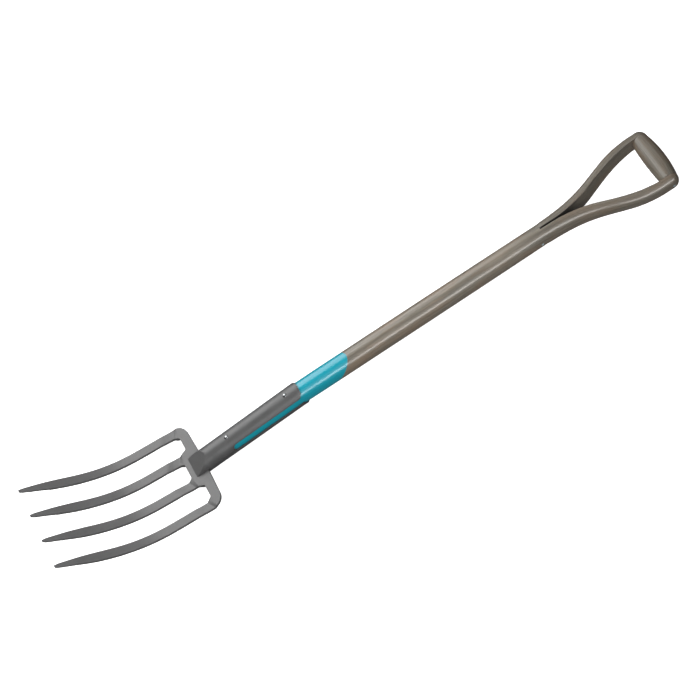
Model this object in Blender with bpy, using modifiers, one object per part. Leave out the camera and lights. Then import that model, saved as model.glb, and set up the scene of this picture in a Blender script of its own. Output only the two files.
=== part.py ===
"""Digging fork: forged four-tine head, strapped steel socket, ash shaft with split D grip.

Units are metres. The fork is drawn along X (tines at -X, grip at +X) with Y across and
+Z out of the front face, then laid on its back so that it rests on the floor at z = 0.
"""
import math

import bmesh
import bpy
from mathutils import Matrix, Vector

# overall layout along the shaft axis; x = 0 is close to where the front strap ends
SLOT_START_X = 0.4700
SPLIT_RIVET_X = 0.4605
GRIP_X = 0.6836

# ash shaft below the sawn slot: distance along it, radius
SHAFT_TOP_R = 0.0178
TRUNK = (
    (-0.1620, 0.0148),
    (-0.1590, 0.0168),
    (-0.0600, 0.0178),
    (0.0000, 0.0182),
    (0.0150, 0.0183),
    (0.0400, 0.0185),
    (0.2500, 0.0185),
    (0.3800, 0.0182),
    (SLOT_START_X, SHAFT_TOP_R),
)
SLOT_HALF = 0.0012
SHAFT_HALF_SEGMENTS = 16

# cross pins through the grip and through the foot of the split
ROD_R = 0.0030
ROD_RECESS = 0.0002
SPLIT_RIVET_R = 0.0022
SPLIT_RIVET_PROUD = 0.0004
PIN_CHAMFER = 0.0006
BORE_CLEARANCE = 0.0003
TURNED_STEPS = 24
BORE_LENGTH = 0.2000
MERGE_DISTANCE = 0.00001

# steam-bent arms: x, inner face y, outer face y, half height
ARM_STATIONS = (
    (0.4700, 0.0012, 0.0178, 0.0178),
    (0.5030, 0.0019, 0.0187, 0.0174),
    (0.5220, 0.0039, 0.0206, 0.0171),
    (0.5410, 0.0078, 0.0244, 0.0168),
    (0.5600, 0.0133, 0.0299, 0.0164),
    (0.5795, 0.0212, 0.0371, 0.0159),
    (0.5985, 0.0290, 0.0448, 0.0154),
    (0.6175, 0.0358, 0.0520, 0.0149),
    (0.6370, 0.0414, 0.0570, 0.0145),
    (0.6560, 0.0448, 0.0595, 0.0143),
    (0.6640, 0.0460, 0.0600, 0.0142),
)
ARM_INNER_Y = 0.0460
ARM_OUTER_Y = 0.0600
ARM_ROWS = 22
ARM_END_LENGTH = 0.0145
ARM_END_STEPS = 7

# grip crosspiece
GRIP_END_RX = 0.0145
GRIP_MID_RX = 0.0178
GRIP_END_RZ = 0.0143
GRIP_MID_RZ = 0.0155
GRIP_BOW = 0.0010
GRIP_GAP = 0.0003
GRIP_SEGMENTS = 32
GRIP_STEPS = 14

# socket: two strap halves around the canted lower end of the shaft
CANT = math.tan(math.radians(4.0))
SOCKET_R_TOP = 0.0207
SOCKET_R_NOSE = 0.0195
SOCKET_WALL = 0.0021
SOCKET_SEGMENTS = 40
SOCKET_TOP_X = 0.0400
SOCKET_MID_X = -0.1500
SOCKET_LOW_X = -0.2150
NOSE_X = -0.2115
NOSE_TOP_X = -0.1785
NOSE_TOP_Z = 0.0080
HEEL_X = -0.2066
HEEL_TOP_X = -0.1840
HEEL_LOW_Z = -0.0322
FRONT_TONGUE_X = 0.0062
FRONT_TONGUE_Y = 0.0182
REAR_TONGUE_X = 0.0088
REAR_TONGUE_Y = 0.0225
TONGUE_CORNER_R = 0.0115
TONGUE_START_X = -0.1200
TONGUE_STEPS = 10
WINDOW_STEPS = 6
WINDOW_LOW_X = -0.1340
WINDOW_HIGH = 0.0111
WINDOW_END_R = 0.00545
SEAM_GAP = 0.0003

# how far cutting blocks reach past the piece they cut
CUT_LOW_X = -0.3000
CUT_HIGH_X = 0.1000
CUT_HALF_Y = 0.0500
CUT_HALF_Z = 0.1000
CUT_OVERRUN = 0.0600
CUT_THICK = 0.1500

# strap rivets
RIVET_X = (-0.1340, -0.0172)
RIVET_R = 0.0022
RIVET_HEAD_R = 0.0036
RIVET_HEAD_H = 0.0018
RIVET_BACK_HEAD_R = 0.0036
RIVET_BACK_HEAD_H = 0.0007
RIVET_HEAD_STEPS = 5

# fork head
PLATE_Z = -0.0128
PLATE_T = 0.0062
PLATE_TOP_X = -0.1893
PLATE_FALL = 0.0018
PLATE_LOW_X = -0.2070
PLATE_CORNER_R = 0.0205
PLATE_CORNER_STEPS = 5
WEB_LOW_X = -0.2205
TANG_TOP_X = -0.1680
TANG_HALF = 0.0130
TANG_CORNER_R = 0.0030
TREAD_Y = 0.0215
# slanted corners between the crossbar and a tine: y on the crossbar, x on the tine
OUTER_CROTCH = (0.0628, -0.2166)
INNER_CROTCH = (0.0385, -0.2203)
WEB_CROTCH = (0.0142, -0.2274)
CROTCH_R = 0.0025
# stubs of the crossbar that reach inside the tines: outer end, inner end, side inset
STUB_X = -0.2225
WEB_STUB_X = -0.2295
STUB_INSET = 0.0012
TINE_ROOT_Y = (0.0256, 0.0766)
TINE_TIP_Y = (0.0261, 0.0784)
# centre line of a tine's front face: x, z
TINE_LINE = (
    (-0.2080, -0.0138),
    (-0.2200, -0.0133),
    (-0.2420, -0.0112),
    (-0.2690, -0.0087),
    (-0.2960, -0.0052),
    (-0.3235, 0.0016),
    (-0.3510, 0.0131),
    (-0.3787, 0.0297),
    (-0.4060, 0.0502),
    (-0.4334, 0.0725),
    (-0.4610, 0.0935),
)
# distance back from the point, half width of the front face, depth
TINE_TAPER = (
    (0.0000, 0.0012, 0.0018),
    (0.0016, 0.0024, 0.0028),
    (0.0050, 0.0033, 0.0034),
    (0.0100, 0.0040, 0.0038),
    (0.0190, 0.0047, 0.0043),
    (0.0350, 0.0060, 0.0050),
    (0.0520, 0.0073, 0.0058),
    (0.0800, 0.0083, 0.0066),
    (0.1400, 0.0078, 0.0072),
    (0.3000, 0.0076, 0.0076),
)
TINE_STEPS = 26
TINE_CROWDING = 1.6
TINE_SIDE_SHARE = 0.75
TINE_BACK_SHARE = 0.50
TINE_SLOPE_REACH = 0.0020
LENGTH_SAMPLES = 120

# pitch that lays the fork on the back of its socket and its grip
REST_PITCH = math.radians(1.121)


def clear_scene():
    for obj in list(bpy.data.objects):
        bpy.data.objects.remove(obj, do_unlink=True)


def make_collection(name):
    collection = bpy.data.collections.new(name)
    bpy.context.scene.collection.children.link(collection)
    return collection


def make_material(name, colour, roughness, metallic):
    material = bpy.data.materials.new(name)
    material.use_nodes = True
    shader = material.node_tree.nodes["Principled BSDF"]
    shader.inputs["Base Color"].default_value = (*colour, 1.0)
    shader.inputs["Roughness"].default_value = roughness
    shader.inputs["Metallic"].default_value = metallic
    return material


def make_object(name, verts, faces, collection):
    mesh = bpy.data.meshes.new(name)
    mesh.from_pydata([tuple(v) for v in verts], [], faces)
    work = bmesh.new()
    work.from_mesh(mesh)
    bmesh.ops.recalc_face_normals(work, faces=work.faces)
    work.to_mesh(mesh)
    work.free()
    obj = bpy.data.objects.new(name, mesh)
    collection.objects.link(obj)
    return obj


def loft(name, rings, collection):
    """Skin a row of closed rings that all have the same number of points."""
    count = len(rings[0])
    verts = [point for ring in rings for point in ring]
    faces = []
    for row in range(len(rings) - 1):
        low = row * count
        high = low + count
        for i in range(count):
            j = (i + 1) % count
            faces.append((low + i, low + j, high + j, high + i))
    faces.append(tuple(range(count)))
    last = (len(rings) - 1) * count
    faces.append(tuple(last + i for i in range(count)))
    return make_object(name, verts, faces, collection)


def shade_smooth(obj, angle_deg=35.0):
    mesh = obj.data
    for polygon in mesh.polygons:
        polygon.use_smooth = True
    work = bmesh.new()
    work.from_mesh(mesh)
    for edge in work.edges:
        if len(edge.link_faces) == 2:
            edge.smooth = edge.calc_face_angle(0.0) < math.radians(angle_deg)
    work.to_mesh(mesh)
    work.free()


def spline_at(table, x, column):
    """Smooth value of one column of a table whose first column runs one way."""
    rows = sorted(table)
    if x <= rows[0][0]:
        return rows[0][column]
    if x >= rows[-1][0]:
        return rows[-1][column]
    k = max(i for i in range(len(rows) - 1) if rows[i][0] <= x)
    x0, x1 = rows[k][0], rows[k + 1][0]
    y0, y1 = rows[k][column], rows[k + 1][column]
    step = x1 - x0
    secant = (y1 - y0) / step
    slope0 = secant
    slope1 = secant
    if k > 0:
        slope0 = (y1 - rows[k - 1][column]) / (x1 - rows[k - 1][0])
    if k < len(rows) - 2:
        slope1 = (rows[k + 2][column] - y0) / (rows[k + 2][0] - x0)
    t = (x - x0) / step
    a = (2 * t + 1) * (1 - t) ** 2
    b = t * (1 - t) ** 2
    c = t * t * (3 - 2 * t)
    d = t * t * (t - 1)
    return a * y0 + b * step * slope0 + c * y1 + d * step * slope1


def axis_z(x):
    """Height of the shaft axis: straight above the socket, canted back inside it."""
    return CANT * min(x, 0.0)


def rounded_outline(corners, steps):
    """Polygon from corners (x, y, fillet radius)."""
    points = []
    count = len(corners)
    for i, (x, y, radius) in enumerate(corners):
        here = Vector((x, y))
        if radius <= 0.0:
            points.append(here)
            continue
        before = Vector(corners[i - 1][:2]) - here
        after = Vector(corners[(i + 1) % count][:2]) - here
        before.normalize()
        after.normalize()
        half = before.angle(after) / 2.0
        reach = radius / math.tan(half)
        centre = here + (before + after).normalized() * (radius / math.sin(half))
        start = here + before * reach - centre
        end = here + after * reach - centre
        turn = start.angle_signed(end)
        for k in range(steps + 1):
            angle = -turn * k / steps
            c = math.cos(angle)
            s = math.sin(angle)
            points.append(centre + Vector((c * start.x - s * start.y, s * start.x + c * start.y)))
    return points


def outline_prism(name, points, low, high, upright, collection):
    """Solid prism of a 2D outline. upright False: outline in X-Y; True: in X-Z."""
    curve = bpy.data.curves.new(name, "CURVE")
    curve.dimensions = "2D"
    curve.fill_mode = "BOTH"
    curve.extrude = (high - low) / 2.0
    spline = curve.splines.new("POLY")
    spline.points.add(len(points) - 1)
    for slot, point in zip(spline.points, points):
        slot.co = (point[0], point[1], 0.0, 1.0)
    spline.use_cyclic_u = True
    source = bpy.data.objects.new(name + "_curve", curve)
    collection.objects.link(source)
    mesh = bpy.data.meshes.new_from_object(source)
    bpy.data.objects.remove(source, do_unlink=True)
    work = bmesh.new()
    work.from_mesh(mesh)
    bmesh.ops.remove_doubles(work, verts=work.verts, dist=MERGE_DISTANCE)
    middle = (low + high) / 2.0
    if upright:
        bmesh.ops.transform(work, matrix=Matrix.Rotation(math.pi / 2.0, 4, "X"), verts=work.verts)
        bmesh.ops.translate(work, vec=(0.0, middle, 0.0), verts=work.verts)
    else:
        bmesh.ops.translate(work, vec=(0.0, 0.0, middle), verts=work.verts)
    bmesh.ops.recalc_face_normals(work, faces=work.faces)
    work.to_mesh(mesh)
    work.free()
    obj = bpy.data.objects.new(name, mesh)
    collection.objects.link(obj)
    return obj


def combine(target, other, operation):
    modifier = target.modifiers.new(operation.lower() + "_" + other.name, "BOOLEAN")
    modifier.solver = "EXACT"
    modifier.operation = operation
    modifier.object = other


def turned_piece(name, profile, centre, axis, collection):
    """Solid of revolution: Screw of a profile (radius, height) about its own axis."""
    mesh = bpy.data.meshes.new(name)
    verts = [(radius, 0.0, height) for radius, height in profile]
    edges = [(i, i + 1) for i in range(len(profile) - 1)]
    mesh.from_pydata(verts, edges, [])
    obj = bpy.data.objects.new(name, mesh)
    collection.objects.link(obj)
    screw = obj.modifiers.new("turn", "SCREW")
    screw.axis = "Z"
    screw.steps = TURNED_STEPS
    screw.render_steps = TURNED_STEPS
    screw.use_merge_vertices = True
    screw.merge_threshold = MERGE_DISTANCE
    screw.use_smooth_shade = True
    obj.matrix_world = Matrix.Translation(centre) @ axis
    return obj


def round_cutter(name, radius, centre, axis, cutters):
    half = BORE_LENGTH / 2.0
    profile = ((0.0, half), (radius, half), (radius, -half), (0.0, -half))
    return turned_piece(name, profile, centre, axis, cutters)


def hide_cutters(cutters):
    for obj in cutters.objects:
        obj.hide_render = True
        obj.display_type = "WIRE"


ALONG_Y = Matrix.Rotation(-math.pi / 2.0, 4, "X")
ACROSS_SOCKET = Matrix.Rotation(-math.atan(CANT), 4, "Y")


def shaft_half_ring(x, centre_z, radius, side):
    """Points of one half of a round section, from its top to its bottom."""
    start = math.asin(SLOT_HALF / radius)
    points = []
    for i in range(SHAFT_HALF_SEGMENTS + 1):
        angle = start + (math.pi - 2.0 * start) * i / SHAFT_HALF_SEGMENTS
        y = side * radius * math.sin(angle)
        points.append((x, y, centre_z + radius * math.cos(angle)))
    return points


def arm_half_ring(x, inner, outer, half_height, side):
    """Rounded outer side of an arm section; the flat inner face closes it."""
    points = []
    for i in range(SHAFT_HALF_SEGMENTS + 1):
        angle = math.pi * i / SHAFT_HALF_SEGMENTS
        y = side * (inner + (outer - inner) * math.sin(angle))
        points.append((x, y, half_height * math.cos(angle)))
    return points


def arm_rows():
    rows = []
    for i in range(1, ARM_ROWS + 1):
        x = SLOT_START_X + (GRIP_X - SLOT_START_X) * i / ARM_ROWS
        inner = min(spline_at(ARM_STATIONS, x, 1), ARM_INNER_Y)
        outer = min(spline_at(ARM_STATIONS, x, 2), ARM_OUTER_Y)
        rows.append((x, inner, outer, spline_at(ARM_STATIONS, x, 3)))
    inner, outer, half_height = rows[-1][1:]
    for i in range(1, ARM_END_STEPS):
        turn = math.pi / 2.0 * i / ARM_END_STEPS
        shrink = math.cos(turn)
        x = GRIP_X + ARM_END_LENGTH * math.sin(turn)
        rows.append((x, inner, inner + (outer - inner) * shrink, half_height * shrink))
    return rows


def build_shaft(parts):
    """One closed skin: round trunk, sawn slot and the two arms."""
    half = SHAFT_HALF_SEGMENTS + 1
    verts = []
    faces = []
    rings = []
    for x, radius in TRUNK:
        left = shaft_half_ring(x, axis_z(x), radius, 1.0)
        right = shaft_half_ring(x, axis_z(x), radius, -1.0)
        start = len(verts)
        verts += left + right
        near = list(range(start, start + half))
        far = list(range(start + half, start + 2 * half))
        rings.append((near, far))
    for (a0, b0), (a1, b1) in zip(rings, rings[1:]):
        for i in range(half - 1):
            faces.append((a0[i], a0[i + 1], a1[i + 1], a1[i]))
            faces.append((b0[i], b1[i], b1[i + 1], b0[i + 1]))
        faces.append((a0[0], a1[0], b1[0], b0[0]))
        faces.append((a0[-1], b0[-1], b1[-1], a1[-1]))
    faces.append(tuple(rings[0][0] + rings[0][1][::-1]))
    root_a, root_b = rings[-1]
    faces.append((root_a[0], root_b[0], root_b[-1], root_a[-1]))
    for side, root in ((1.0, root_a), (-1.0, root_b)):
        previous = root
        for x, inner, outer, half_height in arm_rows():
            start = len(verts)
            verts += arm_half_ring(x, inner, outer, half_height, side)
            ring = list(range(start, start + half))
            for i in range(half - 1):
                faces.append((previous[i], previous[i + 1], ring[i + 1], ring[i]))
            faces.append((previous[0], ring[0], ring[-1], previous[-1]))
            previous = ring
        faces.append(tuple(previous))
    shaft = make_object("shaft", verts, faces, parts)
    shade_smooth(shaft)
    return shaft


def build_grip(parts):
    """Barrel crosspiece: oval sections along Y on a slightly bowed centre line."""
    rings = []
    half_length = ARM_INNER_Y - GRIP_GAP
    for i in range(GRIP_STEPS + 1):
        y = half_length * (2.0 * i / GRIP_STEPS - 1.0)
        swell = 1.0 - (y / half_length) ** 2
        rx = GRIP_END_RX + (GRIP_MID_RX - GRIP_END_RX) * swell
        rz = GRIP_END_RZ + (GRIP_MID_RZ - GRIP_END_RZ) * swell
        cx = GRIP_X + GRIP_BOW * swell
        ring = []
        for k in range(GRIP_SEGMENTS):
            angle = 2.0 * math.pi * k / GRIP_SEGMENTS
            ring.append((cx + rx * math.cos(angle), y, rz * math.sin(angle)))
        rings.append(ring)
    grip = loft("grip", rings, parts)
    shade_smooth(grip)
    return grip


def build_cross_pin(name, x, radius, half, bored, parts, cutters):
    """Chamfered pin across the fork, with a bore for it in each piece it passes through."""
    centre = Vector((x, 0.0, 0.0))
    end_r = radius - PIN_CHAMFER
    side_h = half - PIN_CHAMFER
    profile = ((0.0, half), (end_r, half), (radius, side_h),
               (radius, -side_h), (end_r, -half), (0.0, -half))
    turned_piece(name, profile, centre, ALONG_Y, parts)
    bore = round_cutter(name + "_bore", radius + BORE_CLEARANCE, centre, ALONG_Y, cutters)
    for target in bored:
        combine(target, bore, "DIFFERENCE")


def socket_radius(x):
    """Outer radius: it widens up to x = 0 and then stays the same."""
    share = min((x - SOCKET_LOW_X) / -SOCKET_LOW_X, 1.0)
    return SOCKET_R_NOSE + (SOCKET_R_TOP - SOCKET_R_NOSE) * share


def socket_solid(name, inset, collection):
    """Canted round body with its front nose and rear heel planed off flat."""
    top_x = SOCKET_TOP_X + inset
    low_x = SOCKET_LOW_X + inset
    rings = []
    for x in (low_x, SOCKET_MID_X, 0.0, top_x):
        radius = socket_radius(x) - inset
        ring = []
        for k in range(SOCKET_SEGMENTS):
            angle = 2.0 * math.pi * (k + 0.5) / SOCKET_SEGMENTS
            y = radius * math.cos(angle)
            ring.append((x, y, axis_z(x) + radius * math.sin(angle)))
        rings.append(ring)
    return loft(name, rings, collection)


def shifted_line(x0, z0, x1, z1, inset):
    """Both ends of a side-view line moved sideways by the wall thickness."""
    length = math.hypot(x1 - x0, z1 - z0)
    nx = -(z1 - z0) / length
    nz = (x1 - x0) / length
    ux = (x1 - x0) / length * CUT_OVERRUN
    uz = (z1 - z0) / length * CUT_OVERRUN
    a = (x0 - nx * inset - ux, z0 - nz * inset - uz)
    b = (x1 - nx * inset + ux, z1 - nz * inset + uz)
    return a, b


def plane_off(target, name, line, inset, above, cutters):
    a, b = shifted_line(*line, inset)
    lift = CUT_THICK if above else -CUT_THICK
    outline = [a, b, (b[0], b[1] + lift), (a[0], a[1] + lift)]
    wedge = outline_prism(name, outline, -CUT_HALF_Y, CUT_HALF_Y, True, cutters)
    combine(target, wedge, "DIFFERENCE")


def tongue_outline(end_x, half, full_below):
    """Plan of a strap's rounded upper end; full_below leaves the lower strap full width."""
    corners = [(end_x, -half, TONGUE_CORNER_R), (end_x, half, TONGUE_CORNER_R)]
    if full_below:
        corners = [(TONGUE_START_X, -CUT_HALF_Y, 0.0), (TONGUE_START_X, -half, 0.0),
                   *corners, (TONGUE_START_X, half, 0.0), (TONGUE_START_X, CUT_HALF_Y, 0.0)]
    low_half = CUT_HALF_Y if full_below else half
    ends = [(CUT_LOW_X, low_half, 0.0), (CUT_LOW_X, -low_half, 0.0)]
    return rounded_outline(corners + ends, TONGUE_STEPS)


def window_outline():
    """Side view of the gap between the straps, with a round lower end."""
    low_z = axis_z(WINDOW_LOW_X)
    return rounded_outline([
        (WINDOW_LOW_X, low_z, WINDOW_END_R), (0.0, 0.0, 0.0), (CUT_HIGH_X, 0.0, 0.0),
        (CUT_HIGH_X, WINDOW_HIGH, 0.0), (0.0, WINDOW_HIGH, 0.0),
        (WINDOW_LOW_X, low_z + WINDOW_HIGH, WINDOW_END_R)], WINDOW_STEPS)


def build_socket(parts, cutters):
    front_line = (NOSE_X, PLATE_Z + SEAM_GAP, NOSE_TOP_X, NOSE_TOP_Z)
    rear_line = (HEEL_X, PLATE_Z - PLATE_T - SEAM_GAP, HEEL_TOP_X, HEEL_LOW_Z)
    cavity = socket_solid("socket_cavity", SOCKET_WALL, cutters)
    plane_off(cavity, "cavity_nose", front_line, SOCKET_WALL, True, cutters)
    plane_off(cavity, "cavity_heel", rear_line, -SOCKET_WALL, False, cutters)

    seam_z = axis_z(WINDOW_LOW_X) + WINDOW_HIGH / 2.0
    plate_front = PLATE_Z + SEAM_GAP
    plate_back = PLATE_Z - PLATE_T - SEAM_GAP
    plate_end = PLATE_TOP_X + SEAM_GAP
    seam = [(CUT_HIGH_X, WINDOW_HIGH / 2.0), (0.0, WINDOW_HIGH / 2.0), (WINDOW_LOW_X, seam_z),
            (plate_end, plate_front), (CUT_LOW_X, plate_front)]
    below_seam = seam + [(CUT_LOW_X, -CUT_HALF_Z), (CUT_HIGH_X, -CUT_HALF_Z)]
    above_seam = [(x, z - SEAM_GAP) for x, z in seam]
    above_seam += [(CUT_LOW_X, CUT_HALF_Z), (CUT_HIGH_X, CUT_HALF_Z)]
    window = outline_prism("window_cut", window_outline(), -CUT_HALF_Y, CUT_HALF_Y, True, cutters)

    straps = []
    for name, keep_off, tongue in (
            ("front_strap", below_seam, tongue_outline(FRONT_TONGUE_X, FRONT_TONGUE_Y, True)),
            ("rear_strap", above_seam, tongue_outline(REAR_TONGUE_X, REAR_TONGUE_Y, False))):
        strap = socket_solid(name, 0.0, parts)
        plane_off(strap, name + "_nose", front_line, 0.0, True, cutters)
        plane_off(strap, name + "_heel", rear_line, 0.0, False, cutters)
        combine(strap, cavity, "DIFFERENCE")
        side_cut = outline_prism(name + "_side", keep_off, -CUT_HALF_Y, CUT_HALF_Y, True, cutters)
        combine(strap, side_cut, "DIFFERENCE")
        tongue_keep = outline_prism(name + "_tongue", tongue, -CUT_HALF_Z, CUT_HALF_Z, False,
                                    cutters)
        combine(strap, tongue_keep, "INTERSECT")
        combine(strap, window, "DIFFERENCE")
        straps.append(strap)
    plate_slot = [(CUT_LOW_X, plate_front), (CUT_LOW_X, plate_back),
                  (plate_end, plate_back), (plate_end, plate_front)]
    slot_cut = outline_prism("plate_slot", plate_slot, -CUT_HALF_Y, CUT_HALF_Y, True, cutters)
    combine(straps[1], slot_cut, "DIFFERENCE")
    return straps


def rivet_head(seat, head_r, head_h):
    """Outer line of a domed rivet head, from its crown down to the shank."""
    line = [(0.0, seat + head_h)]
    for i in range(1, RIVET_HEAD_STEPS + 1):
        turn = math.pi / 2.0 * i / RIVET_HEAD_STEPS
        line.append((head_r * math.sin(turn), seat + head_h * math.cos(turn)))
    line.append((RIVET_R, seat))
    return line


def build_strap_rivets(parts, cutters, straps, shaft):
    for name, x in zip(("strap_rivet_lower", "strap_rivet_upper"), RIVET_X):
        seat = socket_radius(x) + BORE_CLEARANCE
        centre = Vector((x, 0.0, axis_z(x)))
        front_head = rivet_head(seat, RIVET_HEAD_R, RIVET_HEAD_H)
        back_head = rivet_head(seat, RIVET_BACK_HEAD_R, RIVET_BACK_HEAD_H)
        profile = front_head + [(radius, -height) for radius, height in reversed(back_head)]
        turned_piece(name, profile, centre, ACROSS_SOCKET, parts)
        bore = round_cutter(name + "_bore", RIVET_R + BORE_CLEARANCE, centre, ACROSS_SOCKET,
                            cutters)
        for target in (*straps, shaft):
            combine(target, bore, "DIFFERENCE")


def tine_length_table():
    """Running length along a tine's front face, measured back from its point."""
    table = []
    length = 0.0
    first = TINE_LINE[-1][0]
    last = TINE_LINE[0][0]
    previous = None
    for i in range(LENGTH_SAMPLES + 1):
        x = first + (last - first) * i / LENGTH_SAMPLES
        z = spline_at(TINE_LINE, x, 1)
        if previous is not None:
            length += math.hypot(x - previous[0], z - previous[1])
        table.append((length, x, z))
        previous = (x, z)
    return table


def build_tine(name, root_y, tip_y, collection):
    table = tine_length_table()
    total = table[-1][0]
    rings = []
    for i in range(TINE_STEPS + 1):
        back = total * (i / TINE_STEPS) ** TINE_CROWDING
        x = spline_at(table, back, 1)
        z = spline_at(table, back, 2)
        ahead = max(back - TINE_SLOPE_REACH, 0.0)
        behind = min(back + TINE_SLOPE_REACH, total)
        dx = spline_at(table, behind, 1) - spline_at(table, ahead, 1)
        dz = spline_at(table, behind, 2) - spline_at(table, ahead, 2)
        norm = math.hypot(dx, dz)
        down = (dz / norm, -dx / norm)
        y = tip_y + (root_y - tip_y) * back / total
        half = spline_at(TINE_TAPER, back, 1)
        depth = spline_at(TINE_TAPER, back, 2)
        section = ((-half, 0.0), (half, 0.0), (half, TINE_SIDE_SHARE * depth),
                   (TINE_BACK_SHARE * half, depth), (-TINE_BACK_SHARE * half, depth),
                   (-half, TINE_SIDE_SHARE * depth))
        rings.append([(x + down[0] * d, y + w, z + down[1] * d) for w, d in section])
    return loft(name, rings, collection)


def build_head(parts, cutters):
    inner_y, outer_y = TINE_ROOT_Y
    half = TINE_TAPER[-1][1]
    stub_half = half - STUB_INSET
    side = [
        (TANG_TOP_X, TANG_HALF, TANG_CORNER_R),
        (PLATE_TOP_X, TANG_HALF, 0.0),
        (PLATE_TOP_X, TREAD_Y, 0.0),
        (PLATE_TOP_X - PLATE_FALL, outer_y + half, PLATE_CORNER_R),
        (STUB_X, outer_y + stub_half, 0.0),
        (STUB_X, outer_y - stub_half, 0.0),
        (OUTER_CROTCH[1], outer_y - half, CROTCH_R),
        (PLATE_LOW_X, OUTER_CROTCH[0], CROTCH_R),
        (PLATE_LOW_X, INNER_CROTCH[0], CROTCH_R),
        (INNER_CROTCH[1], inner_y + half, CROTCH_R),
        (WEB_STUB_X, inner_y + stub_half, 0.0),
        (WEB_STUB_X, inner_y - stub_half, 0.0),
        (WEB_CROTCH[1], inner_y - half, CROTCH_R),
        (WEB_LOW_X, WEB_CROTCH[0], CROTCH_R),
    ]
    mirrored = [(x, -y, radius) for x, y, radius in reversed(side)]
    outline = rounded_outline(side + mirrored, PLATE_CORNER_STEPS)
    head = outline_prism("fork_head", outline, PLATE_Z - PLATE_T, PLATE_Z, False, parts)
    for number, (sign, which) in enumerate(((1, 1), (1, 0), (-1, 0), (-1, 1)), start=1):
        tine = build_tine("tine_%d" % number, sign * TINE_ROOT_Y[which],
                          sign * TINE_TIP_Y[which], cutters)
        combine(head, tine, "UNION")
    return head


def lay_down(parts, cutters):
    """Pitch every piece onto the floor and centre the fork's box over the origin."""
    base = bpy.data.objects.new("digging_fork_base", None)
    parts.objects.link(base)
    turn = Matrix.Rotation(REST_PITCH, 4, "Y")
    bpy.context.view_layer.update()
    graph = bpy.context.evaluated_depsgraph_get()
    low = Vector((1e9, 1e9, 1e9))
    high = -low
    pieces = [obj for obj in parts.objects if obj.type == "MESH"]
    for obj in pieces:
        evaluated = obj.evaluated_get(graph)
        mesh = evaluated.to_mesh()
        for vertex in mesh.vertices:
            point = turn @ (obj.matrix_world @ vertex.co)
            low = Vector(map(min, low, point))
            high = Vector(map(max, high, point))
        evaluated.to_mesh_clear()
    shift = Vector((-(low.x + high.x) / 2.0, 0.0, -low.z))
    base.matrix_world = Matrix.Translation(shift) @ turn
    for obj in (*pieces, *cutters.objects):
        obj.parent = base


def main():
    clear_scene()
    parts = make_collection("digging_fork")
    cutters = make_collection("cutters")
    shaft = build_shaft(parts)
    grip = build_grip(parts)
    build_cross_pin("grip_rod", GRIP_X, ROD_R, ARM_OUTER_Y - ROD_RECESS, (shaft, grip),
                    parts, cutters)
    build_cross_pin("split_rivet", SPLIT_RIVET_X, SPLIT_RIVET_R, SHAFT_TOP_R + SPLIT_RIVET_PROUD,
                    (shaft,), parts, cutters)
    straps = build_socket(parts, cutters)
    build_strap_rivets(parts, cutters, straps, shaft)
    build_head(parts, cutters)
    looks = {
        "shaft": ("stained_ash", (0.130, 0.105, 0.080), 0.38, 0.0),
        "grip": ("grip_ash", (0.120, 0.097, 0.074), 0.38, 0.0),
        "grip_rod": ("rod_steel", (0.420, 0.450, 0.460), 0.35, 1.0),
        "split_rivet": ("split_rivet_steel", (0.360, 0.390, 0.400), 0.40, 1.0),
        "front_strap": ("front_strap_coat", (0.120, 0.120, 0.120), 0.42, 0.3),
        "rear_strap": ("rear_strap_coat", (0.110, 0.110, 0.110), 0.42, 0.3),
        "strap_rivet_lower": ("lower_rivet_steel", (0.620, 0.630, 0.640), 0.25, 1.0),
        "strap_rivet_upper": ("upper_rivet_steel", (0.620, 0.630, 0.640), 0.25, 1.0),
        "fork_head": ("head_coat", (0.240, 0.240, 0.240), 0.45, 0.3),
    }
    for name, (label, colour, roughness, metallic) in looks.items():
        material = make_material(label, colour, roughness, metallic)
        parts.objects[name].data.materials.append(material)
    hide_cutters(cutters)
    lay_down(parts, cutters)


main()
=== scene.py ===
"""Looks of the digging fork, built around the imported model.

Every piece is drawn on the fork's own axes (X along the shaft towards the grip, Y across,
+Z out of the front face, x = 0 where the front strap ends) and then moved onto the frame,
whose place is read from the two cross pins. Units are metres.
"""

import math

import bmesh
import bpy
from mathutils import Matrix, Vector


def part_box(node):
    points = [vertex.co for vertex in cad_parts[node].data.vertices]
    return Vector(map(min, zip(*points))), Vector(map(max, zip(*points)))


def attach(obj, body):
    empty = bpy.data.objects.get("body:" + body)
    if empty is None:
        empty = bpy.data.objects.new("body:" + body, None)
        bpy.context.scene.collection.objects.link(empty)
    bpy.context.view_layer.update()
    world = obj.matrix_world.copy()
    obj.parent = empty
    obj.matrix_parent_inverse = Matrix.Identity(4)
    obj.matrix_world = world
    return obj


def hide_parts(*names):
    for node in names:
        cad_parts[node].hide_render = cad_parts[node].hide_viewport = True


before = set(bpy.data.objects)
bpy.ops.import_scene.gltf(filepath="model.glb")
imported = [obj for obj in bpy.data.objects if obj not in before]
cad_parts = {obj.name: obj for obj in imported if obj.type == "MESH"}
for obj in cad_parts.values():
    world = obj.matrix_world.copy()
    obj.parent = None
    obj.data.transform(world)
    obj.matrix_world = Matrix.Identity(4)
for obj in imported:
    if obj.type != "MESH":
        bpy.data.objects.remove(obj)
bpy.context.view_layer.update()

# ---------------------------------------------------------------- driving dimensions

# places along the shaft
SPLIT_RIVET_X = 0.4605
SLOT_START_X = 0.4700
BEND_END_X = 0.5220
GRIP_X = 0.6836

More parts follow.
